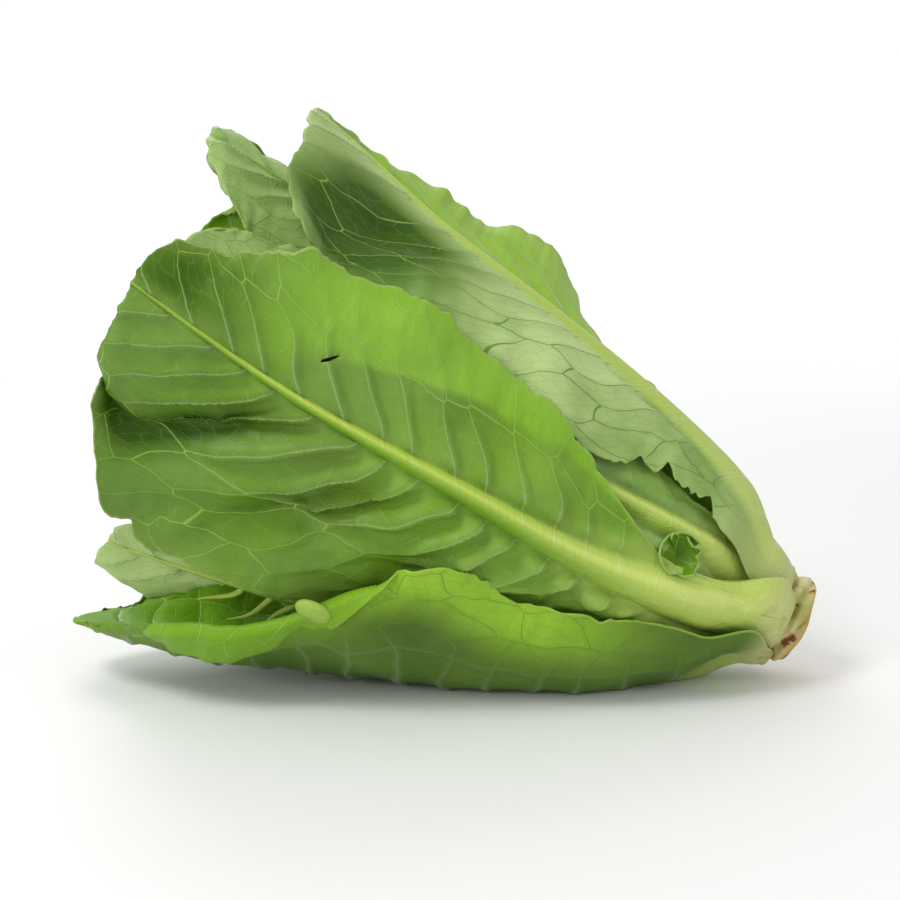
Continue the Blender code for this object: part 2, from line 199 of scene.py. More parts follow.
leaves = [
    simpleLeaf("heart_leaf_1", (20, 30), (0.048, 0.165), 0.20, (0.016, 0.016), (0.0032, 0.0020),
               heartLook, curl=0.3, ruffle=0.002, frill=0.0010),
    simpleLeaf("heart_leaf_2", (200, 190), (0.045, 0.180), 0.33, (0.022, 0.022), (0.0040, 0.0024),
               heartLook, curl=0.2, ruffle=0.002, frill=0.0010),
    simpleLeaf("heart_leaf_3", (-55, -45), (0.042, 0.195), 0.42, (0.028, 0.028), (0.0048, 0.0026),
               heartLook, curl=0.2, ruffle=0.003),
    simpleLeaf("heart_leaf_4", (85, 93), (0.039, 0.215), 0.50, (0.034, 0.034), (0.0054, 0.0028),
               heartLook, curl=0.2, ruffle=0.003),
    simpleLeaf("inner_leaf_back", (170, 162), (0.036, 0.240), 0.60, (0.045, 0.050), (0.0064, 0.0032),
               innerLook),
    simpleLeaf("inner_leaf_low", (-115, -107), (0.033, 0.245), 0.68, (0.050, 0.050), (0.0068, 0.0034),
               innerLook),
    simpleLeaf("inner_leaf_front", (-4, 20), (0.030, 0.290), 0.76, (0.052, 0.030), (0.0072, 0.0036),
               innerLook, ruffle=0.003, waves=3),
    simpleLeaf("inner_leaf_top", (80, 80), (0.026, 0.289), 0.77, (0.046, 0.050), (0.0078, 0.0038),
               dict(innerLook, bloom=0.5), dropLow=0.004, phase=1.0),
    dict(
        name="torn_leaf", path=((0, -66), (0.7, -66), (1, -61)), start=0.023, reach=0.261, openness=0.88,
        low=((0.12, 0.014), (0.35, 0.026), (0.52, 0.022), (0.62, 0.006), (0.80, 0.006), (0.88, 0.018),
             (1.00, 0.024)),
        high=plain(0.040), dropLow=0.004, phase=2.0, ribWidth=0.0082, ribHeight=0.0040,
        ragged=((-1, 0.45, 0.88, 0.005, 0.011),), tooth=0.0006,
        stubs=((0.57, 0.018, -0.004), (0.60, 0.013, 0.004), (0.64, 0.020, 0.008), (0.68, 0.014, 0.010),
               (0.72, 0.017, 0.012), (0.77, 0.012, 0.012)),
        look=dict(innerLook, bloom=0.75)),
    simpleLeaf("second_leaf_back", (-148, -142), (0.020, 0.270), 0.86, (0.060, 0.048), (0.0092, 0.0044),
               innerLook, phase=1.5),
    dict(
        name="second_leaf_front", path=((0, 35), (0.5, 31), (1, 35)), start=0.018, reach=0.279,
        openness=0.84, low=plain(0.050),
        high=((0.12, 0.012), (0.30, 0.018), (0.50, 0.022), (0.70, 0.024), (0.88, 0.022), (1.00, 0.014)),
        dropHigh=0.004, phase=0.5, ribWidth=0.0060, ribHeight=0.0038, footRun=0.15,
        look=dict(innerLook, bloom=0.5)),
    simpleLeaf("back_leaf", (173, 164), (0.014, 0.283), 0.93, (0.064, 0.066), (0.010, 0.0050), {},
               flareLow=0.10, flareHigh=0.06, phase=0.8),
    dict(
        name="top_leaf", path=((0, 87), (1, 88)), start=0.012, reach=0.258, openness=0.98,
        low=((0.07, 0.0245), (0.13, 0.0300), (0.25, 0.0330), (0.35, 0.0450), (0.60, 0.0570), (0.85, 0.0666),
             (1.00, 0.0580)),
        high=((0.15, 0.018), (0.40, 0.030), (0.58, 0.038), (0.70, 0.033), (0.85, 0.022), (1.00, 0.010)),
        dropLow=0.002, flareHigh=0.41, flareMiddle=0.58, curl=0.07, ribWidth=0.0125, ribHeight=0.0060,
        folds=((-1, 0.77, 0.94, 0.012, 0.090, 1.0), (-1, 0.76, 0.94, 0.0, 0.12, 1.0)),
        ragged=((-1, 0.16, 0.36, 0.0068, 0.019),), tooth=0.0005, grain=0.0012, quiltHigh=0.7, ridge=0.4,
        veins={"leanLow": 0.6},
        look=dict(bloom=1.0, bloomHigh=0.1, paleReach=4.0, glow=(0.28, 0.50, 0.02),
                  inner=(0.27, 0.47, 0.022), blade=(0.15, 0.29, 0.035), tip=(0.13, 0.26, 0.03),
                  rib=(0.47, 0.61, 0.15), ribLow=(0.50, 0.60, 0.18), ribShade=(0.42, 0.56, 0.11))),
    dict(
        name="front_leaf", path=((0, 4), (0.15, -2), (0.3, -2), (0.5, 4), (0.75, 10), (1, 20)),
        start=0.009, reach=0.289, openness=0.97,
        low=((0.13, 0.0165), (0.30, 0.0288), (0.50, 0.0522), (0.62, 0.0660), (0.76, 0.0720), (0.86, 0.0785),
             (0.94, 0.0735), (1.00, 0.0420)),
        high=((0.13, 0.0100), (0.20, 0.0110), (0.27, 0.0188), (0.40, 0.0352), (0.50, 0.0398),
              (0.61, 0.0445), (0.77, 0.0420), (0.90, 0.0305), (1.00, 0.0185)),
        dropLow=0.002, dropHigh=0.006, tipRound=0.002, phase=0.3, ribHeight=0.0060, footRun=0.30,
        folds=((-1, 0.738, 1.060, 0.0082, 0.036, 0.7), (-1, 0.716, 1.045, 0.0, 0.032, 1.0),
               (-1, 0.53, 0.86, 0.004, 0.045, 0.35), (1, 0.955, 0.940, 0.0, 0.080, 0.9)),
        ears=((0.195, 1.35, 0.0085, 0.0080, False),), holes=((1, 0.735, 0.41, 0.011, 0.018, -5.4),),
        lobe=0.0010, frill=0.0007, quiltLow=3.1, quiltHigh=1.0, calm=0.66, ridge=0.85, grain=0.0011,
        veins={"spacing": 0.0125, "leanLow": 0.30, "leanHigh": -0.10, "gain": 5.5, "bend": 2.0},
        look=dict(bloom=0.15, blade=(0.150, 0.310, 0.012), paleReach=2.4, paleUntil=0.45)),
    dict(
        name="bottom_leaf", path=((0, -90), (1, -90)), start=0.006, reach=0.260, openness=1.12,
        low=((0.16, 0.032), (0.40, 0.056), (0.60, 0.066), (0.82, 0.055), (0.93, 0.040), (1.00, 0.021)),
        high=((0.16, 0.0605), (0.32, 0.0806), (0.44, 0.0879), (0.52, 0.1075), (0.61, 0.1030),
              (0.70, 0.0730), (0.88, 0.0510), (1.00, 0.0130)),
        curl=-0.05, ribWidth=0.0110, ribHeight=0.0060, quiltLow=0.15, quiltHigh=0.15, grain=0.0012,
        rolls=((1, 0.620, 0.660, 0.80, 1.000, 0.0030, 0.021, 3.2),),
        ears=((0.690, 0.785, 0.0060, 0.0022, True),),
        veins={"leanLow": 0.1, "leanHigh": 0.0, "gain": 1.5, "bend": 2.0},
        # its blade and tip colours are darker to paint the shade on its outer face, which faces the table
        look=dict(bloom=0.05, rib=(0.20, 0.34, 0.05), ribLow=(0.36, 0.47, 0.12), inner=(0.15, 0.34, 0.006),
                  vein=(0.10, 0.25, 0.015), margin=(0.32, 0.52, 0.08), blade=(0.065, 0.145, 0.004),
                  tip=(0.065, 0.145, 0.003), glow=(0.30, 0.55, 0.020))),
]

edgeWaves = {  # lengths of the waves along a leaf's edge
    "lobe": 0.027,
    "tipLobe": 0.024,
    "tooth": 0.0065,
    "toothGroup": 0.04,
    "frill": 0.017,
}

rollEdge = {  # shares of the plain width from which a roll winds and is smooth, and of the length
    "start": 0.92,
    "smooth": 0.85,
    "ease": 0.015,  # over which it begins and ends
}


def plainWidth(leaf, share, side):
    foot = (0, head.petiole * float(stemRadius(leaf.start)))
    low, high = (smoothCurve((foot, *edge), share) for edge in (leaf.low, leaf.high))
    return np.where(side < 0, low, high)


def rollShape(roll, share):
    # how much of the extra width stands at a share of the length, with rounded ends
    _, begin, full, fade, end, _, _, _ = roll
    return np.sqrt(held(begin, full, fade, end, share))


def outline(leaf, share, side):
    # half width on one side, with lobes, teeth, tears and the extra width of what is rolled up
    seed = leaf.seed + np.where(side < 0, 0.37, 0)
    run = share * leaf.length
    lobes = leaf.lobe * wander(leaf.seed, run / edgeWaves["lobe"] + seed)
    teeth = leaf.tooth * wander(leaf.seed + 1, run / edgeWaves["tooth"] + seed)
    teeth = teeth * (1 + wander(leaf.seed + 5, run / edgeWaves["toothGroup"] + seed))
    width = plainWidth(leaf, share, side) + (lobes + teeth) * smoothStep(0.12, 0.3, share)
    for roll in leaf.rolls:
        width = width + np.where(side == roll[0], roll[6], 0) * rollShape(roll, share)
    for raggedSide, begin, end, depth, pitch in leaf.ragged:
        torn = held(begin, begin + 0.03, end - 0.03, end, share)
        jags = 0.8 * np.abs(wander(leaf.seed + 6, run / pitch)) ** 0.7
        jags = jags + 0.20 * np.abs(wander(leaf.seed + 7, run / pitch * 3.1))
        width = width - np.where(side == raggedSide, depth, 0) * jags * torn
    return np.maximum(width, 0.003)


def ribHalfWidth(leaf, share):
    foot = head.petiole * stemRadius(leaf.start)
    slim = leaf.ribWidth * (1 - share) ** 1.4 + head.ribLeast
    return foot + (slim - foot) * smoothStep(0, leaf.footRun, share)


def thickness(leaf, share, across):
    inside = np.clip(1 - (across / ribHalfWidth(leaf, share)) ** 2, 0, 1)
    foot = 0.5 + 0.5 * smoothStep(0, 0.09, share)
    return head.blade + (leaf.ribHeight * (1 - share) * foot + head.ribTip) * inside


def creaseOf(fold, share, side, step):
    # 1 along a fold's floor; its wall is steeper towards the leaf's tip
    foldSide, atRib, atEdge, _, width, _ = fold
    off = (share - atRib - (atEdge - atRib) * step) / width
    off = np.where(off > 0, off * 1.08, off)
    out = smoothStep(0, 0.35, step) * (1 - 0.75 * smoothStep(0.62, 1.0, step))
    return np.exp(-np.abs(off) ** 1.6) * out * (side == foldSide)


def leafSheet(leaf, stack, share, side, step):
    # the leaf's inner face; step runs from 0 at the rib to 1 at the edge
    across = side * step * outline(leaf, share, side)
    drop = np.where(side < 0, leaf.dropLow, leaf.dropHigh)
    along = leaf.start + leaf.length * share - drop * share**4 * step**2
    tipEdge = leaf.lobe * wander(leaf.seed + 2, across / edgeWaves["tipLobe"])
    tipEdge = tipEdge + leaf.tooth * wander(leaf.seed + 3, across / edgeWaves["tooth"])
    along = along + (tipEdge - leaf.tipRound * step**4) * smoothStep(0.86, 1.0, share)
    ribAngle = np.radians(smoothCurve(leaf.path, share))
    ribRadius = leaf.openness * envelope(along, ribAngle)
    footRadius = float(stemRadius(leaf.start)) + head.gap
    leaving = smoothStep(0, 0.14, share)
    turnRadius = footRadius + (np.maximum(ribRadius, footRadius) - footRadius) * leaving
    flat, lift = across, 0 * across
    ease = rollEdge["ease"]
    for rollSide, begin, _, _, end, radius, _, turn in leaf.rolls:
        # past the plain outline the edge winds up, then runs on straight
        past = np.maximum(side * across - rollEdge["start"] * plainWidth(leaf, share, side), 0)
        past = past * (side == rollSide) * held(begin - ease, begin, end, end + ease, share)
        wound = np.minimum(past / radius, turn)
        rest = past - wound * radius
        flat = flat + side * (radius * np.sin(wound) + rest * np.cos(wound) - past)
        lift = lift + radius * (1 - np.cos(wound)) + rest * np.sin(wound)
    angle = ribAngle + flat / turnRadius
    flare = np.where(side < 0, leaf.flareLow, leaf.flareHigh) * step**2
    flare = flare * np.exp(-(((share - leaf.flareMiddle) / leaf.flareReach) ** 2))
    flare = flare + leaf.curl * smoothStep(0.7, 1.0, share)
    wish = leaf.openness * envelope(along, angle) * (1 + flare)
    beat = 2 * math.pi * leaf.waves * share + leaf.phase + np.where(side < 0, 1.9, 0)
    wish = wish + leaf.ruffle * np.sin(beat) * step**2 * smoothStep(0.12, 0.4, share)
    edgeRun = share * leaf.length / edgeWaves["frill"] + np.where(side < 0, 0.5, 0)
    wish = wish + leaf.frill * wander(leaf.seed + 4, edgeRun) * step**3 * smoothStep(0.1, 0.3, share)
    for fold in leaf.folds:
        wish = wish - fold[3] * creaseOf(fold, share, side, step)
    radius = footRadius + (wish - footRadius) * leaving
    laid = smoothMost(radius, stack.over(along, angle) + head.layerGap, head.layerEase)
    radius = radius + (laid - radius) * smoothStep(0, 0.03, share)
    radius = np.maximum(radius, stemRadius(along) + head.gap) + lift
    deep = thickness(leaf, share, across)
    radius = smoothLeast(radius, tableRadius(along, angle) - deep, head.tableEase)
    return along, angle, radius, across, deep


class LeafStack:
    # the greatest radius that the stem and the leaves laid so far reach, by length and angle
    pitch, rows, columns, reach = 0.00125, 264, 240, 3

    def __init__(self):
        along = np.arange(self.rows) * self.pitch
        self.top = np.repeat(stemRadius(along)[:, None], self.columns, axis=1)
        self.top[along > head.stemLength] = 0
        self.soft = self.top

    def cells(self, along, angle):
        row = np.clip(along / self.pitch, 0, self.rows - 1.001)
        return row, (angle / (2 * math.pi) * self.columns) % self.columns

    def over(self, along, angle):
        row, column = self.cells(along, angle)
        i, j = np.floor(row).astype(int), np.floor(column).astype(int) % self.columns
        di, dj = row - np.floor(row), column - np.floor(column)
        near = self.soft[i, j] * (1 - dj) + self.soft[i, (j + 1) % self.columns] * dj
        far = self.soft[i + 1, j] * (1 - dj) + self.soft[i + 1, (j + 1) % self.columns] * dj
        return near * (1 - di) + far * di

    def lay(self, leaf):
        share, step = np.linspace(0, 1, 460)[:, None], np.linspace(0, 1, 150)[None, :]
        for side in (-1, 1):
            along, angle, radius, _, deep = leafSheet(leaf, self, share, side, step)
            row, column = self.cells(along, angle)
            cells = np.rint(row).astype(int), np.rint(column).astype(int) % self.columns
            np.maximum.at(self.top, cells, radius + deep)
        field = self.top
        for blend in (np.max, np.mean):
            for axis in (0, 1):
                field = blend([np.roll(field, n, axis) for n in range(-self.reach, self.reach + 1)], axis=0)
        self.soft = field


# Node trees, wired with plain sums

def sumOf(operation):
    return lambda self, *others: self.board.maths(operation, self, *others)


class Wire:
    # a socket that sums, products and comparisons can be written with
    def __init__(self, board, socket):
        self.board, self.socket = board, socket

    __add__ = __radd__ = sumOf("ADD")
    __mul__ = __rmul__ = sumOf("MULTIPLY")
    __sub__, __truediv__, __lt__ = sumOf("SUBTRACT"), sumOf("DIVIDE"), sumOf("LESS_THAN")
    __abs__, wrapped, least, most = sumOf("ABSOLUTE"), sumOf("FRACT"), sumOf("MINIMUM"), sumOf("MAXIMUM")

    def __rsub__(self, other):
        return self.board.maths("SUBTRACT", other, self)

    def rise(self, low, high):
        # 0 below low, 1 above high and smooth between
        return self.board.add("ShaderNodeMapRange", {"interpolation_type": "SMOOTHSTEP"},
                              {"Value": self, "From Min": low, "From Max": high})


class Board:
    def __init__(self, tree):
        self.tree = tree

    def add(self, kind, settings=None, sockets=None, out=0):
        node = self.tree.nodes.new(kind)
        for name, value in (settings or {}).items():
            setattr(node, name, value)
        for name, value in (sockets or {}).items():
            self.feed(node.inputs[name], value)
        return Wire(self, node.outputs[out])

    def feed(self, socket, value):
        if isinstance(value, Wire):
            self.tree.links.new(value.socket, socket)
        else:
            socket.default_value = value

    def maths(self, operation, *values):
        return self.add("ShaderNodeMath", {"operation": operation}, dict(enumerate(values)))

    def colour(self, factor, under, over, blend="MIX"):
        solid = [value if isinstance(value, Wire) else (*value, 1) for value in (under, over)]
        return self.add("ShaderNodeMix", {"data_type": "RGBA", "blend_type": blend},
                        {0: factor, 6: solid[0], 7: solid[1]}, out=2)

    def pair(self, x, y):
        return self.add("ShaderNodeCombineXYZ", {}, {0: x, 1: y})

    def noise(self, where, scale, detail=2.0, roughness=0.5):
        return self.add("ShaderNodeTexNoise", {},
                        {"Vector": where, "Scale": scale, "Detail": detail, "Roughness": roughness})

    def cells(self, where, ease):
        # distance to the nearest border between cells; ease runs from square cells to free ones
        return self.add("ShaderNodeTexVoronoi",
                        {"feature": "DISTANCE_TO_EDGE", "voronoi_dimensions": "2D"},
                        {"Vector": where, "Scale": 1.0, "Randomness": ease})

    def read(self, name):
        return self.add("ShaderNodeAttribute", {"attribute_name": name}, out=2)

    def layered(self, base, *layers):
        # each layer says how much it covers, and its colour or the name of a tint
        for factor, colour in layers:
            if isinstance(colour, str):
                colour = self.colour(1.0, base, tints[colour], "MULTIPLY")
            base = self.colour(factor, base, colour)
        return base


veinShape = {
    "spacing": 0.0140,  # between side veins, along the rib
    "leanLow": 0.35,  # how far a side vein runs tipwards for each unit outwards, on either side
    "leanHigh": 0.25,
    "gain": 5.0,  # how much more it leans for each metre along the rib
    "bend": 3.0,  # and for each metre outwards
    "crossing": 0.0170,  # size of the loops that they close towards the edge
    "fine": 3.4,  # fine veins for each main one
    "straight": 0.42,  # share of the width in which the side veins don't fork
}

veinInputs = {"seed": "Seed", "spacing": "Spacing", "leanLow": "Lean Low", "leanHigh": "Lean High",
              "gain": "Gain", "bend": "Bend"}


def veinDistances(board, across, along, edge, shape):
    # how far, in metres, the nearest main, fine and minor veins are, and the share of the way between
    # one main vein and the next
    out = abs(across)
    low = across < 0
    lean = low * shape["leanLow"] + (1 - low) * shape["leanHigh"]
    where = board.pair(across * 26, along * 26)
    drift = (board.noise(where, 1.0, 1.0) - 0.5) * 1.1
    root = (along - out * lean - out * out * shape["bend"]) / (1 + out * shape["gain"])
    x = root * (1 - root * 0.5) / shape["spacing"] + drift + shape["seed"] + low * 0.5
    loops = (edge - shape["straight"]).most(0.0) * out / edge.most(0.01) / shape["crossing"]
    y = loops + low * 7
    free = edge.rise(shape["straight"] - 0.1, 0.85) * 0.9
    main = board.cells(board.pair(x + free * 0.5, y + free * 0.5), free)
    net = board.pair(x * shape["fine"], out / shape["crossing"] * shape["fine"] * 0.8 + y * 0.5)
    fine = board.cells(net, 0.7)
    minor = abs(x.wrapped() - 0.5) + edge.rise(0.25, 0.55)
    phase = (x + 0.5).wrapped()
    size = shape["spacing"] * 0.9 * (1 + out * shape["gain"]) / (1 - root)
    return main * size, fine * (size / shape["fine"]), minor * size, phase


# Relief: veins stand out of the back of the leaf and the blade swells between them

reliefSizes = {
    "Ridge Height": 0.00075,
    "Ridge Width": 0.0021,
    "Quilt Height": 0.0018,
    "Quilt Reach": 0.0058,
    "Billow": 0.0035,
    "Flute Height": 0.0005,
}


def reliefTree():
    tree = bpy.data.node_groups.new("Leaf relief", "GeometryNodeTree")
    tree.interface.new_socket("Geometry", in_out="INPUT", socket_type="NodeSocketGeometry")
    for name in (*reliefSizes, "Quilt Low", "Quilt High", *veinInputs.values(), "Calm"):
        tree.interface.new_socket(name, in_out="INPUT", socket_type="NodeSocketFloat")
    tree.interface.new_socket("Finish", in_out="INPUT", socket_type="NodeSocketMaterial")
    tree.interface.new_socket("Geometry", in_out="OUTPUT", socket_type="NodeSocketGeometry")
    board = Board(tree)
    given = tree.nodes.new("NodeGroupInput")
    value = {socket.name: Wire(board, socket) for socket in given.outputs if socket.name}

    across, along, edge, soft, share, ribShare = (
        board.add("GeometryNodeInputNamedAttribute", {"data_type": "FLOAT"}, {"Name": name})
        for name in ("across", "along", "edge", "soft", "share", "ribShare"))
    shape = {**veinShape, **{key: value[name] for key, name in veinInputs.items()}}
    main, fine, minor, phase = veinDistances(board, across, along, edge, shape)
    ridge = (1 - (main / value["Ridge Width"]).rise(0.1, 1.5)) * (1.1 - edge * 0.75)
    fineRidge = 1 - (fine / (value["Ridge Width"] * 0.5)).rise(0.1, 1.5)
    spot = board.add("GeometryNodeInputPosition")
    low = across < 0
    deep = low * value["Quilt Low"] + (1 - low) * value["Quilt High"]
    quilt = (1 - (main / value["Quilt Reach"]).rise(0.0, 1.0)) * (1 - edge.rise(0.35, 1.0) * 0.85)
    pleat = 1 - phase.rise(0.0, 0.75) + phase.rise(0.70, 1.0)
    pleat = pleat * (1 - edge.rise(0.30, 0.75)) * edge.rise(0.0, 0.2)
    uneven = board.noise(spot, 30.0, 1.0).rise(0.3, 0.6) * 0.5 + 0.5
    calmed = 1 - share.rise(value["Calm"], value["Calm"] + 0.3) * 0.75
    quilt = (quilt * 0.5 + pleat * 0.7 * uneven) * deep * calmed
    minorRidge = 1 - (minor / value["Ridge Width"]).rise(0.0, 0.8)
    billow = board.noise(spot, 24.0, 1.0).rise(0.35, 0.75) * edge.rise(0.05, 0.4)
    billow = billow * (1 - edge.rise(0.75, 1.0) * 0.6)
    pucker = board.noise(spot, 110.0, 1.0) - 0.4
    blade = (ridge * value["Ridge Height"] + (fineRidge * 0.2 + minorRidge * 0.5) * value["Ridge Height"]
             + quilt * value["Quilt Height"] + billow * value["Billow"]
             + pucker * value["Ridge Height"] * 0.6) * soft
    stripes = board.noise(board.pair(across * 420, along * 9), 1.0, 1.0) - 0.5
    flute = stripes * (1 - share.rise(0.10, 0.55)) * (1 - abs(ribShare).rise(0.9, 1.5))
    height = blade + flute * share.rise(0.0, 0.06) * value["Flute Height"]
    normal = board.add("GeometryNodeInputNormal")
    offset = board.add("ShaderNodeVectorMath", {"operation": "SCALE"}, {0: normal, "Scale": height})
    moved = board.add("GeometryNodeSetPosition", {}, {"Geometry": value["Geometry"], "Offset": offset})
    whole = board.add("GeometryNodeRealizeInstances", {}, {"Geometry": moved})
    done = board.add("GeometryNodeSetMaterial", {}, {"Geometry": whole, "Material": value["Finish"]})
    result = tree.nodes.new("NodeGroupOutput")
    tree.links.new(done.socket, result.inputs[0])
    return tree


def setInputs(modifier, values):
    for item in modifier.node_group.interface.items_tree:
        if item.item_type == "SOCKET" and item.in_out == "INPUT" and item.name in values:
            modifier[item.identifier] = values[item.name]


# Leaf finish

leafLook = {
    "blade": (0.135, 0.285, 0.010),
    "tip": (0.100, 0.225, 0.004),
    "glow": (0.20, 0.43, 0.006),  # where no leaf lies behind and light comes through
    "inner": (0.14, 0.31, 0.005),  # the face towards the heart
    "margin": (0.34, 0.48, 0.14),
    "rib": (0.40, 0.55, 0.07),
    "ribLow": (0.52, 0.64, 0.14),
    "ribShade": (0.14, 0.33, 0.008),
    "vein": (0.32, 0.49, 0.07),
    "innerVein": (0.34, 0.50, 0.12),
    "darkVein": (0.09, 0.20, 0.025),
    "paleReach": 1.8,  # how far out, in half widths of the rib, the foot is pale
    "paleUntil": 0.20,  # and up to which share of the length
    "bloom": 0.2,  # share of the pale waxy bloom on the back of the leaf, which also paints the sheen of light on it
    "bloomHigh": 1.0,  # how much of it stands on the high side
    "bloomColour": (0.47, 0.62, 0.24),
}

tints = {  # what the blade or the rib is multiplied by
    "paler": (1.35, 1.25, 1.6),
    "deeper": (0.66, 0.74, 0.45),
    "flecked": (0.80, 0.86, 0.7),
    "shaded": (0.26, 0.36, 0.06),
    "besideVein": (0.72, 0.82, 0.6),
    "ribStripe": (0.80, 0.88, 0.6),
    # painted highlight along the lit upper side of a rib
    "paintedRibHighlight": (1.35, 1.22, 1.7),
}

footColours = {"pale": (0.50, 0.52, 0.22), "fleck": (0.30, 0.19, 0.03)}

lineWidths = {  # half widths of the drawn veins
    "main": 0.00036,
    "mainLoss": 0.00019,  # what the main veins lose towards the edge
    "fine": 0.00026,
    "minor": 0.0003,
    "besideVein": 0.0026,
    "wet": 0.0016,
}


def newFinish(name):
    material = bpy.data.materials.new(name)
    material.use_nodes = True
    material.node_tree.nodes.clear()
    return material, Board(material.node_tree)


def closeFinish(board, values):
    shader = board.add("ShaderNodeBsdfPrincipled", {}, values)
    out = board.tree.nodes.new("ShaderNodeOutputMaterial")
    board.feed(out.inputs["Surface"], shader)


def leafFinish(leaf):
    look = leaf.look
    material, board = newFinish(leaf.name)
    across, along, edge, share, outer, ribShare, toEdge, glow, shade = map(board.read, (
        "across", "along", "edge", "share", "outer", "ribShare", "toEdge", "glow", "shade"))
    main, fine, minor, _ = veinDistances(board, across, along, edge, leaf.veins)
    spot = board.add("ShaderNodeTexCoord", out=3)
    cloud = board.noise(spot, 21.0, 3.0, 0.55)
    fleck = board.noise(spot, 75.0, 3.0, 0.6)
    speck = board.noise(spot, 260.0, 2.0)
    dark = shade.least(1.0)
    onHigh = across.rise(0.0, 0.003)
    # pale waxy bloom together with a painted sheen, left out where shade is painted
    bloom = outer * look.bloom * (1 - dark) * (1 - onHigh * (1 - look.bloomHigh))
    bloom = bloom * share.rise(0.06, 0.2)
    patch = board.noise(spot, 16.0, 3.0).rise(0.26, 0.56)
    base = board.layered(
        board.colour(share.rise(0.30, 0.95), look.blade, look.tip),
        (cloud.rise(0.45, 0.70) * 0.8, "paler"),
        (cloud.rise(0.50, 0.30) * 0.7, "deeper"),
        (fleck.rise(0.50, 0.35) * 0.6, "flecked"),
        ((1 - outer) * 0.85, look.inner),
        (glow * (0.92 - fleck.rise(0.5, 0.7) * 0.15), look.glow),
        (bloom * patch, look.bloomColour),
        (dark * 0.95, "shaded"))

    veinTone = board.layered(look.innerVein, (outer, look.vein), (bloom * 0.9, look.darkVein))
    width = lineWidths["main"] - edge * lineWidths["mainLoss"]
    mainLine = (1 - (main / width).rise(0.3, 1.4)) * share.rise(0.05, 0.18)
    fineLine = 1 - (fine / lineWidths["fine"]).rise(0.2, 1.4)
    minorLine = 1 - (minor / lineWidths["minor"]).rise(0.2, 1.4)
    base = board.layered(
        base,
        ((main / lineWidths["besideVein"]).rise(0.9, 0.2) * (1 - edge * 0.8) * 0.5, "besideVein"),
        (fineLine * 0.12 + minorLine * 0.35, veinTone),
        (mainLine * (0.50 + edge.rise(0.1, 0.5) * 0.2 + bloom * 0.2), veinTone),
        ((1 - toEdge.rise(0.0002, 0.0009)) * 0.6, look.margin))

    away = abs(ribShare)
    stripe = board.noise(board.pair(across * 800, along * 12), 1.0, 2.0)
    ribTone = board.layered(
        look.ribLow,
        (share.rise(0.06, 0.55), look.rib),
        # painted shade on the rib's lower side and a painted highlight along its upper side
        (ribShare.rise(0.45, -0.45) * (0.85 - share.rise(0.45, 0.12) * 0.65), look.ribShade),
        ((stripe - 0.35) * 0.9, "ribStripe"),
        (abs(ribShare - 0.40).rise(0.30, 0.0) * 0.7, "paintedRibHighlight"),
        (share.rise(0.75, 1.0) * 0.5, base))
    foot = 1 - share.rise(0.015, 0.075)
    pale = (1 - share.rise(0.05, look.paleUntil)) * (1 - away.rise(1.0, look.paleReach)) * 0.85
    base = board.layered(
        base,
        (pale, look.ribLow),
        (1 - away.rise(0.70, 1.05), ribTone),
        (foot * 0.8, footColours["pale"]),
        (foot * fleck.rise(0.58, 0.66) * 0.35, footColours["fleck"]))

    rough = 0.44 - mainLine * 0.12 + (speck - 0.5) * 0.12 + bloom * 0.06
    bumps = fineLine * 0.35 + mainLine * 0.5 + speck * 0.25 + fleck * 0.6
    bumps = bumps + stripe * (1 - away.rise(0.8, 1.2)) * 0.4
    wet = (main / lineWidths["wet"]).rise(1.0, 0.2) * (1 - edge.rise(0.3, 0.7))
    wet = (wet * 0.85 + 0.05) * (1 - dark * 0.9)
    relief = board.add("ShaderNodeBump", {}, {"Strength": 0.4, "Distance": 0.0007, "Height": bumps})
    closeFinish(board, {"Base Color": base, "Roughness": rough, "Normal": relief,
                        "Specular IOR Level": 0.20, "Coat Weight": wet, "Coat Roughness": 0.12})
    return material


# Leaf meshes

def put(name, data):
    thing = bpy.data.objects.new(name, data)
    bpy.context.scene.collection.objects.link(thing)
    return thing


def gridSquares(high, wide, closed=False):
    # squares between the points of a grid, row by row; closed ones join the last column to the first
    row, column = np.arange(high - 1)[:, None] * wide, np.arange(wide if closed else wide - 1)
    here, after = row + column, row + (column + 1) % wide
    return np.stack((here, after, after + wide, here + wide), axis=-1).reshape(-1, 4)


def setFields(mesh, fields):
    for name, field in fields.items():
        values = np.broadcast_to(field, len(mesh.vertices)).astype(float)
        mesh.attributes.new(name, "FLOAT", "POINT").data.foreach_set("value", values)


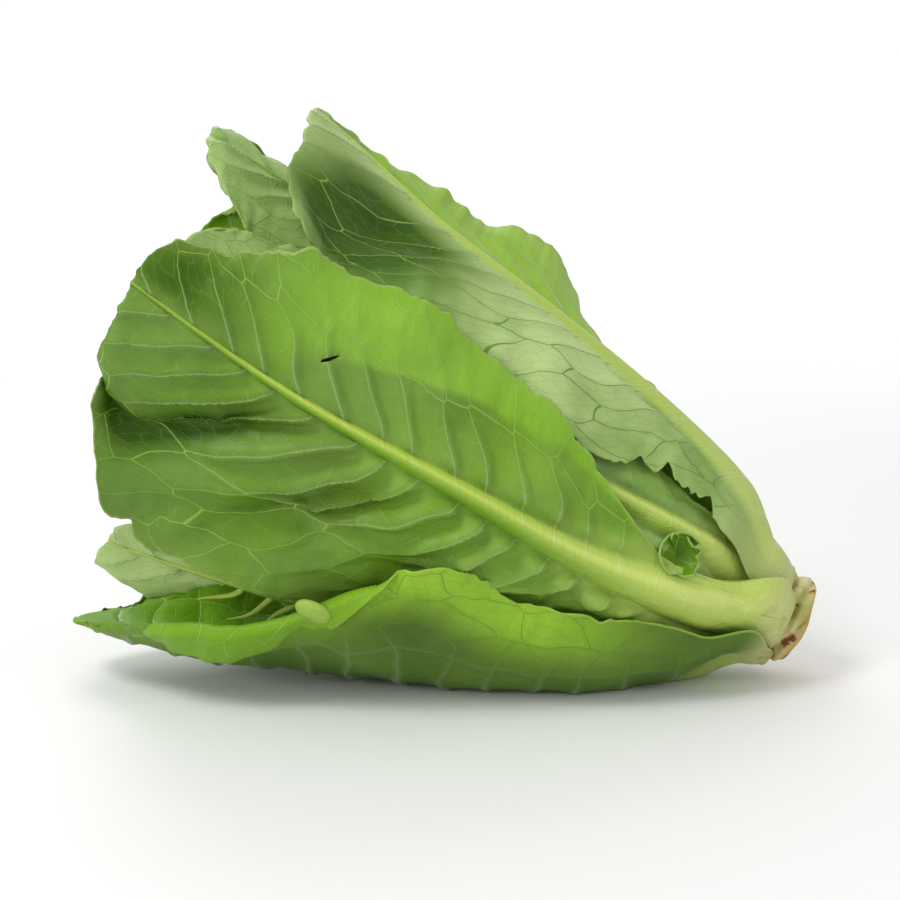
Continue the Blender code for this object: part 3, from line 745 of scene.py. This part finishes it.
def bentGrid(leaf, stack):
    # points, squares and the values that the relief and the finish read, row by row from the foot
    rows = max(40, round(leaf.length / leaf.grain))
    share = np.linspace(0, 1, rows + 1)[:, None]
    halves = []
    for side in (-1, 1):
        width = outline(leaf, share, side)
        ribColumns = max(3, round(leaf.ribWidth / leaf.grain))
        bladeColumns = max(8, round((float(width.max()) - leaf.ribWidth) / leaf.grain))
        count = np.arange(ribColumns + bladeColumns + 1)
        ribStep = np.minimum(ribHalfWidth(leaf, share) * 1.05 / width, 0.6)
        inBlade = np.clip((count - ribColumns) / bladeColumns, 0, 1)
        halves.append(ribStep * np.minimum(count / ribColumns, 1) + (1 - ribStep) * inBlade)
    low, high = halves
    step = np.concatenate((low[:, :0:-1], high), axis=1)
    side = np.concatenate((0 * low[:, 1:] - 1, 0 * high + 1), axis=1)
    share = share + 0 * step
    squares = gridSquares(*step.shape)
    for hole in leaf.holes:
        squares, share, step = cutHole(hole, squares, share, side, step)
    along, angle, radius, across, deep = leafSheet(leaf, stack, share, side, step)
    points = place(along, angle, radius).reshape(-1, 3)
    width = outline(leaf, share, side)
    ribShare = across / ribHalfWidth(leaf, share)
    toEdge = np.minimum(width * (1 - step), (1 - share) * leaf.length + 0.2 * width * (1 - step))
    soft = smoothStep(0.9, 1.7, np.abs(ribShare)) * smoothStep(0.03, 0.16, share)
    soft = soft * (0.35 + 0.65 * smoothStep(0, 0.012, toEdge))
    soft = soft * (1 - rolledUp(leaf, share, side, across))
    shade = sum((fold[5] * creaseOf(fold, share, side, step) for fold in leaf.folds), 0 * share)
    values = {"across": across, "along": share * leaf.length, "edge": step, "share": share,
              "ribShare": ribShare, "toEdge": toEdge, "soft": soft, "shade": shade, "deep": deep,
              "glow": leaf.glow(share, side, plainWidth(leaf, share, side) - np.abs(across))}
    values = {name: np.asarray(field, float).ravel() for name, field in values.items()}
    used = np.unique(squares)
    number = np.zeros(len(points), int)
    number[used] = np.arange(len(used))
    points, squares = points[used], number[squares]
    values = {name: field[used] for name, field in values.items()}
    for ear in leaf.ears:
        earPoints, earSquares, earValues = curledEar(leaf, ear, stack)
        squares = np.concatenate((squares, earSquares + len(points)))
        points = np.concatenate((points, earPoints))
        values = {name: np.concatenate((field, earValues[name])) for name, field in values.items()}
    return points, squares, values


def cutHole(hole, squares, share, side, step):
    # takes out the squares inside a slanting gash and draws the rest of its edge onto its line
    holeSide, at, out, halfLength, halfWidth, slant = hole
    off = (share - at) / halfLength
    aside = (step - out - slant * (share - at)) / halfWidth
    size = np.where(side == holeSide, np.hypot(off, aside), 9)
    gone = (size < 1).ravel()[squares].any(axis=1)
    edge = np.zeros(share.size, bool)
    edge[squares[gone].ravel()] = True
    edge = edge.reshape(share.shape) & (size >= 1)
    share, step = share + 0, step + 0
    share[edge] = at + off[edge] / size[edge] * halfLength
    step[edge] = out + slant * (share[edge] - at) + aside[edge] / size[edge] * halfWidth
    return squares[~gone], share, step


earShape = {
    "rows": 18,
    "columns": 72,
    "turns": 1.25,  # of the lobe round its own axis, from "begin"
    "begin": -0.35,
    "closing": 0.22,  # share of the radius lost from one end to the other
    "frill": 0.0022,
    "sunk": 0.002,  # how deep its floor lies in the leaf
}


def curledEar(leaf, ear, stack):
    # a lobe at the leaf's edge that winds round on itself and opens outwards
    at, out, size, height, domed = ear
    shape = earShape
    along, angle, radius, _, _ = leafSheet(leaf, stack, np.array([at]), np.array([1.0]), np.array([out]))
    middle = place(along, angle, radius)[0]
    outward = place(along, angle, radius + 1)[0] - middle
    tipward = place(along + 1, angle, radius)[0] - middle
    sideward = np.cross(outward, tipward)
    turn, rise = np.meshgrid(np.linspace(0, 1, shape["columns"]), np.linspace(0, 1, shape["rows"]))
    wound = 2 * math.pi * (shape["turns"] * turn + shape["begin"])
    if domed:  # a rolled lip seen from its round end
        wound = -wound
        reach = size * np.sin(2.0 * rise) * (1 + 0.06 * np.cos(2 * wound))
        lift = height * (0.3 + np.cos(2.0 * rise))
    else:
        frill = shape["frill"] * smoothStep(0.25, 0.8, turn) * rise**3
        reach = size * (1 - shape["closing"] * turn) * np.sin(1.7 * rise) ** 0.9
        reach = reach + frill * wander(leaf.seed + 9, turn * 6)
        lift = height * rise**1.6 * (0.8 + 0.2 * np.cos(wound - 1))
        lift = lift + frill * wander(leaf.seed + 10, turn * 8)
    points = middle + reach[..., None] * (np.cos(wound)[..., None] * tipward
                                          + np.sin(wound)[..., None] * sideward)
    points = (points + (lift - shape["sunk"])[..., None] * outward).reshape(-1, 3)
    fields = {"across": 0.012 + 0.008 * rise, "along": 0.05 + 0.045 * turn, "edge": 0.55 + 0.4 * rise,
              "share": 0.05 if domed else 0.3, "ribShare": 9, "toEdge": height * (1 - rise), "soft": 0,
              "shade": 0 if domed else 0.75 * (1 - rise) * turn, "glow": 0.95 if domed else 0,
              "deep": head.blade}
    fields = {name: (field + 0 * rise).ravel() for name, field in fields.items()}
    return points, gridSquares(*turn.shape), fields


stubShape = {
    "rows": 12,
    "sides": 10,
    "thick": 0.0011,  # radius at the rib, and at the point
    "thin": 0.0002,
    "bow": 0.0022,
    "sideways": 0.5,  # shares of its reach
    "outwards": 0.75,
}


def stubMesh(leaf, stack):
    # bare side veins, bent and tapering, where the blade has been torn away from the rib
    shape = stubShape
    rows, sides = shape["rows"], shape["sides"]
    run = np.linspace(0, 1, rows)[:, None]
    turn = np.arange(sides) * 2 * math.pi / sides
    slim = shape["thick"] * (1 - run**2) + shape["thin"]
    points, faces = [], []
    for number, (at, out, tipwards) in enumerate(leaf.stubs):
        share = at + tipwards / leaf.length * run**1.5
        along, angle, radius, _, deep = leafSheet(leaf, stack, share, np.array([[-1.0]]), np.array([[0.0]]))
        bow = shape["bow"] * np.sin(run * 4.2 + number * 2.1) * run
        middle = place(along + bow, angle - shape["sideways"] * out * run / radius,
                       radius + deep * 0.6 + shape["outwards"] * out * run)[:, 0]
        ahead = np.gradient(middle, axis=0)
        ahead = ahead / np.linalg.norm(ahead, axis=1, keepdims=True)
        aside = np.cross(ahead, (0, 1, 0))
        aside = aside / np.linalg.norm(aside, axis=1, keepdims=True)
        above = np.cross(aside, ahead)
        ring = middle[:, None] + slim[..., None] * (np.cos(turn)[:, None] * aside[:, None]
                                                    + np.sin(turn)[:, None] * above[:, None])
        first = number * rows * sides
        points.append(ring.reshape(-1, 3))
        faces += (gridSquares(rows, sides, closed=True) + first).tolist()
        faces.append([first + sides - 1 - j for j in range(sides)])
        faces.append([first + (rows - 1) * sides + j for j in range(sides)])
    mesh = bpy.data.meshes.new("stubs")
    mesh.from_pydata(np.concatenate(points).tolist(), [], faces)
    # ribShare 0.4 puts the rib's painted highlight over the whole of each stub
    setFields(mesh, {"across": 0, "along": 0.1, "edge": 0, "share": 0.45, "ribShare": 0.4, "toEdge": 0.05,
                     "soft": 0, "shade": 0, "glow": 0, "outer": 1})
    mesh.materials.append(bpy.data.materials[leaf.name])
    return mesh


def rolledUp(leaf, share, side, across):
    wound = 0 * share
    for roll in leaf.rolls:
        past = np.abs(across) - rollEdge["smooth"] * plainWidth(leaf, share, side)
        past = past * (side == roll[0])
        wound = wound + smoothStep(0, 0.003, past) * rollShape(roll, share)
    return np.clip(wound, 0, 1)


def noGlow(share, side, inset):
    return 0 * share


frontBand = (  # share of the length, and width of the band of the front leaf that light comes through
    (0.0, 0.0), (0.28, 0.001), (0.38, 0.004), (0.45, 0.008), (0.52, 0.012), (0.60, 0.017), (0.70, 0.023),
    (0.80, 0.028), (0.90, 0.020), (1.0, 0.004))


def frontGlow(share, side, inset):
    # the upper edge has no leaf behind it, and the band ends at the next leaf's edge
    band = smoothCurve(frontBand, share) + 0.0010 * wander(3, share * 9)
    sharp = 0.0013 + 0.012 * smoothStep(0.66, 0.85, share)
    lit = held(0.15, 0.3, 0.78, 0.88, share) * (side > 0)
    return lit * (1 - smoothStep(-1, 1, (inset - band) / sharp))


def topGlow(share, side, inset):
    return 0.9 * (side > 0) * held(0.25, 0.4, 0.86, 0.95, share)


# painted light along the bottom leaf's high edge, which stands up off the table; the rest of its outer face
# is painted darker as shade
def bottomGlow(share, side, inset):
    lit = (side > 0) * (1 - smoothStep(0.010, 0.041, inset)) * smoothStep(0.15, 0.4, share)
    return lit * (1 - 0.75 * smoothStep(0.58, 0.70, share))


def leafObject(leaf, stack, relief):
    points, squares, values = bentGrid(leaf, stack)
    deep = values.pop("deep")
    mesh = bpy.data.meshes.new(leaf.name + "_fine")
    mesh.from_pydata(points.tolist(), [], squares.tolist())
    setFields(mesh, values)
    fine = put(leaf.name + "_fine", mesh)
    group = fine.vertex_groups.new(name="thickness")
    deepest = float(deep.max())
    for index, value in enumerate((deep / deepest).tolist()):
        group.add([index], value, "REPLACE")
    finish = leafFinish(leaf)
    mesh.materials.append(finish)
    wave = fine.modifiers.new("Relief", "NODES")
    wave.node_group = relief
    setInputs(wave, {**reliefSizes, "Ridge Height": reliefSizes["Ridge Height"] * leaf.ridge,
                     **{name: leaf.veins[key] for key, name in veinInputs.items()}, "Finish": finish,
                     "Quilt Low": leaf.quiltLow, "Quilt High": leaf.quiltHigh, "Calm": leaf.calm})
    thick = fine.modifiers.new("Blade and rib", "SOLIDIFY")
    thick.thickness = deepest
    thick.offset = 1
    thick.vertex_group = group.name
    thick.use_quality_normals = True
    graph = bpy.context.evaluated_depsgraph_get()
    solid = bpy.data.meshes.new_from_object(fine.evaluated_get(graph))
    fine.modifiers.clear()
    fine.vertex_groups.clear()
    fine.data = solid
    outer = np.arange(len(solid.vertices)) < len(points)  # the thickened face comes first
    spots = np.empty(len(solid.vertices) * 3)
    solid.vertices.foreach_get("co", spots)
    spots[2::3] = np.maximum(spots[2::3], np.where(outer, head.lowestOuter, head.lowestInner))
    solid.vertices.foreach_set("co", spots)
    setFields(solid, {"outer": outer})
    if leaf.stubs:
        joined = bmesh.new()
        joined.from_mesh(solid)
        joined.from_mesh(stubMesh(leaf, stack))
        joined.to_mesh(solid)
        joined.free()
    solid.polygons.foreach_set("use_smooth", np.ones(len(solid.polygons), bool))
    solid.update()
    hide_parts(leaf.name)
    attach(fine, "root")
    return fine


relief = reliefTree()
stack = LeafStack()
slots = {"heart": "heart_leaf", "inner": "inner_leaf", "second": "inner_leaf", "torn": "inner_leaf"}
glows = {"front_leaf": frontGlow, "top_leaf": topGlow, "bottom_leaf": bottomGlow}
squareCount = 0
for number, given in enumerate(leaves):
    leaf = SimpleNamespace(**{**leafDefaults, **given, "seed": 11 + number * 7})
    leaf.length = leaf.reach - leaf.start
    leaf.look = SimpleNamespace(**{**leafLook, **leaf.look})
    leaf.veins = {**veinShape, **leaf.veins, "seed": number * 1.37}
    leaf.slot = slots.get(leaf.name.split("_")[0], "outer_leaf")
    leaf.glow = glows.get(leaf.name, noGlow)
    fine = leafObject(leaf, stack, relief)
    squareCount += len(fine.data.polygons)
    stack.lay(leaf)
print("leaves laid:", len(leaves), "with", 2 * squareCount, "triangles")

# Stem

stemShape = {
    "sides": 120,
    "scar": 0.0014,  # depth of the scars of trimmed leaves
    "groove": 0.00035,
    "hollow": 0.0011,  # depth of the dip in the middle of the cut face, its reach, and its waves
    "hollowReach": 0.006,
    "faceWave": 0.0007,
    "point": 0.0006,  # how far the tip stands out past the last ring
    "lumps": (  # stumps of leaves cut off: angle, half its width, from and to along the axis, height
        (20, 34, 0.0012, 0.0075, 0.0016), (95, 40, 0.0010, 0.0105, 0.0021),
        (170, 36, 0.0014, 0.0110, 0.0018), (250, 38, 0.0010, 0.0050, 0.0013),
        (318, 26, 0.0020, 0.0060, 0.0017)),
    "spots": (  # browned scars: angle, distance along the axis, radius
        (-9, 0.0031, 0.0017), (-20, 0.0042, 0.0020), (38, 0.0066, 0.0010), (66, 0.0022, 0.0011),
        (150, 0.0050, 0.0013), (215, 0.0030, 0.0012), (285, 0.0030, 0.0010)),
    "cream": (0.60, 0.56, 0.28),
    "tan": (0.50, 0.32, 0.085),
    "brown": (0.17, 0.055, 0.010),
    "green": (0.38, 0.46, 0.13),
}


def stemFinish():
    material, board = newFinish("cut_stem")
    cream, tan, brown, green = (stemShape[name] for name in ("cream", "tan", "brown", "green"))
    cut, mark = board.read("cut"), board.read("mark")
    spot = board.add("ShaderNodeTexCoord", out=3)
    patch = board.noise(spot, 120.0, 4.0, 0.6)
    grime = board.noise(spot, 330.0, 3.0)
    grit = board.noise(spot, 950.0, 3.0)
    base = board.layered(
        cream,
        (board.noise(spot, 60.0, 2.0).rise(0.50, 0.66), green),
        (cut * 0.8 + patch.rise(0.42, 0.62) * 0.35, tan),
        (patch.rise(0.57, 0.64) * grime.rise(0.42, 0.56) * 0.8, brown),
        (mark.rise(0.0, 0.4) * 0.6, tan),
        ((mark + (grime - 0.5) * 0.9 + (grit - 0.5) * 1.3).rise(0.40, 0.60), brown))
    relief = board.add("ShaderNodeBump", {},
                       {"Strength": 0.5, "Distance": 0.0008, "Height": patch + grime * 0.4})
    closeFinish(board, {"Base Color": base, "Roughness": 0.62 + (grime - 0.5) * 0.2, "Normal": relief,
                        "Subsurface Weight": 0.2, "Subsurface Radius": (1.0, 0.7, 0.3),
                        "Subsurface Scale": 0.002})
    return material


def turnFrom(degrees, turn):
    return (turn - math.radians(degrees) + math.pi) % (2 * math.pi) - math.pi


def stemObject():
    # rings from the middle of the cut face, round its edge and down to the growing point
    shape, length, edge = stemShape, head.stemLength, head.stemRadius
    profile = [(edge * 0.93 * n / 10, 0.0) for n in range(1, 11)]
    down = (*np.linspace(0.0006, 0.014, 28), *np.linspace(0.016, length, 16))
    profile += [(float(stemRadius(a)), a) for a in down]
    turn = np.arange(shape["sides"]) * 2 * math.pi / shape["sides"]
    radius, along = np.array(profile).T[..., None] + 0 * turn
    inFace = along < 0.0005
    scars = np.abs(np.sin(2.5 * turn + along / 0.0021)) ** 6 * (along < 0.02) * (along > 0.001)
    grooves = shape["groove"] * np.sin(7 * turn + along * 900) * (1 - inFace)
    radius = radius - shape["scar"] * scars + grooves
    lumps = 0 * turn
    for at, half, begin, end, height in shape["lumps"]:
        away = np.abs(turnFrom(at, turn)) / math.radians(half)
        on = held(begin - 0.0010, begin, end - 0.0025, end, along)
        lumps = np.maximum(lumps, height * on * (1 - smoothStep(0.5, 1.0, away)))
    radius = radius + lumps * ~inFace
    dip = shape["hollow"] * np.exp(-((radius / shape["hollowReach"]) ** 2))
    dip = dip - shape["faceWave"] * np.sin(3 * turn + radius * 500) * (radius / edge) ** 2
    along = along + np.where(inFace, dip, 0)
    ends = place(np.array([shape["hollow"], length + shape["point"]]), np.zeros(2), np.zeros(2))
    points = np.concatenate((place(along, turn, radius).reshape(-1, 3), ends))
    faces, count, sides = gridSquares(*along.shape, closed=True).tolist(), along.size, len(turn)
    for n in range(sides):
        after = (n + 1) % sides
        faces += [(count, after, n), (count + 1, count - sides + n, count - sides + after)]
    mesh = bpy.data.meshes.new("stem_fine")
    mesh.from_pydata(points.tolist(), [], faces)
    bare = 0.75 * smoothStep(0.0002, 0.0010, lumps) * (lumps < 0.0012)
    cut = np.maximum(1 - smoothStep(0.0, 0.0035, along), bare)
    mark = 0 * radius
    for at, down, size in shape["spots"]:
        off = np.hypot(turnFrom(at, turn) * radius, along - down)
        mark = np.maximum(mark, (1 - off / (1.6 * size)) * ~inFace)
    setFields(mesh, {"cut": [*cut.ravel(), 1, 0], "mark": [*np.clip(mark, 0, 1).ravel(), 0, 0]})
    mesh.materials.append(stemFinish())
    mesh.polygons.foreach_set("use_smooth", np.ones(len(mesh.polygons), bool))
    stem = put("stem_fine", mesh)
    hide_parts("stem")
    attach(stem, "root")


stemObject()
print("stem turned")

# Table, light and camera

studio = {
    "floor": (0.88, 0.88, 0.875),
    "floorReach": 6.0,
    "floorFade": (0.32, 0.85),  # the floor thins out to the white behind it between these distances
    "sky": (1.0, 1.0, 1.0),
    "skyStrength": 0.68,
    "skySeen": 1.02,  # its strength as the camera sees it
    "lights": (  # place, size, power
        ((-0.60, -0.50, 1.15), 0.45, 7.0),
        ((0.75, -0.60, 0.60), 0.6, 0.6),
        ((-0.25, 0.85, 0.95), 0.8, 4.0),
        ((-0.75, -0.75, 0.45), 0.16, 1.2),
    ),
    "lens": 85,
    "target": (0.0025, 0.0, 0.0925),
    "distance": 0.83,
    "elevation": 13,
}


def pointAt(thing, target):
    look = [t - p for t, p in zip(target, thing.location)]
    thing.rotation_mode = "QUATERNION"
    thing.rotation_quaternion = Vector(look).to_track_quat("-Z", "Y")


floorMesh = bpy.data.meshes.new("floor")
reach = studio["floorReach"]
corners = [(-reach, -reach, 0), (reach, -reach, 0), (reach, reach, 0), (-reach, reach, 0)]
floorMesh.from_pydata(corners, [], [(0, 1, 2, 3)])
floorFinish, board = newFinish("floor")
fromMiddle = board.add("ShaderNodeVectorMath", {"operation": "LENGTH"},
                       {0: board.add("ShaderNodeTexCoord", out=3)}, out=1)
closeFinish(board, {"Base Color": (*studio["floor"], 1), "Roughness": 0.7,
                    "Alpha": 1 - fromMiddle.rise(*studio["floorFade"])})
floorMesh.materials.append(floorFinish)
floor = put("floor", floorMesh)

world = bpy.data.worlds.new("studio")
bpy.context.scene.world = world
world.use_nodes = True
sky = world.node_tree.nodes["Background"]
sky.inputs["Color"].default_value = (*studio["sky"], 1)
board = Board(world.node_tree)
seen = board.add("ShaderNodeLightPath")
board.feed(sky.inputs["Strength"],
           studio["skyStrength"] + seen * (studio["skySeen"] - studio["skyStrength"]))
for index, (spot, size, power) in enumerate(studio["lights"]):
    lamp = bpy.data.lights.new(f"softbox{index}", "AREA")
    lamp.size, lamp.energy = size, power
    softbox = put(f"softbox{index}", lamp)
    softbox.location = spot
    pointAt(softbox, (0, 0, 0.08))

camera = put("camera", bpy.data.cameras.new("camera"))
camera.data.lens = studio["lens"]
camera.data.clip_start = 0.01
rise = math.radians(studio["elevation"])
target = studio["target"]
camera.location = (target[0], target[1] - studio["distance"] * math.cos(rise),
                   target[2] + studio["distance"] * math.sin(rise))
pointAt(camera, target)
bpy.context.scene.camera = camera
bpy.context.scene.view_settings.view_transform = "Standard"
print("studio set")
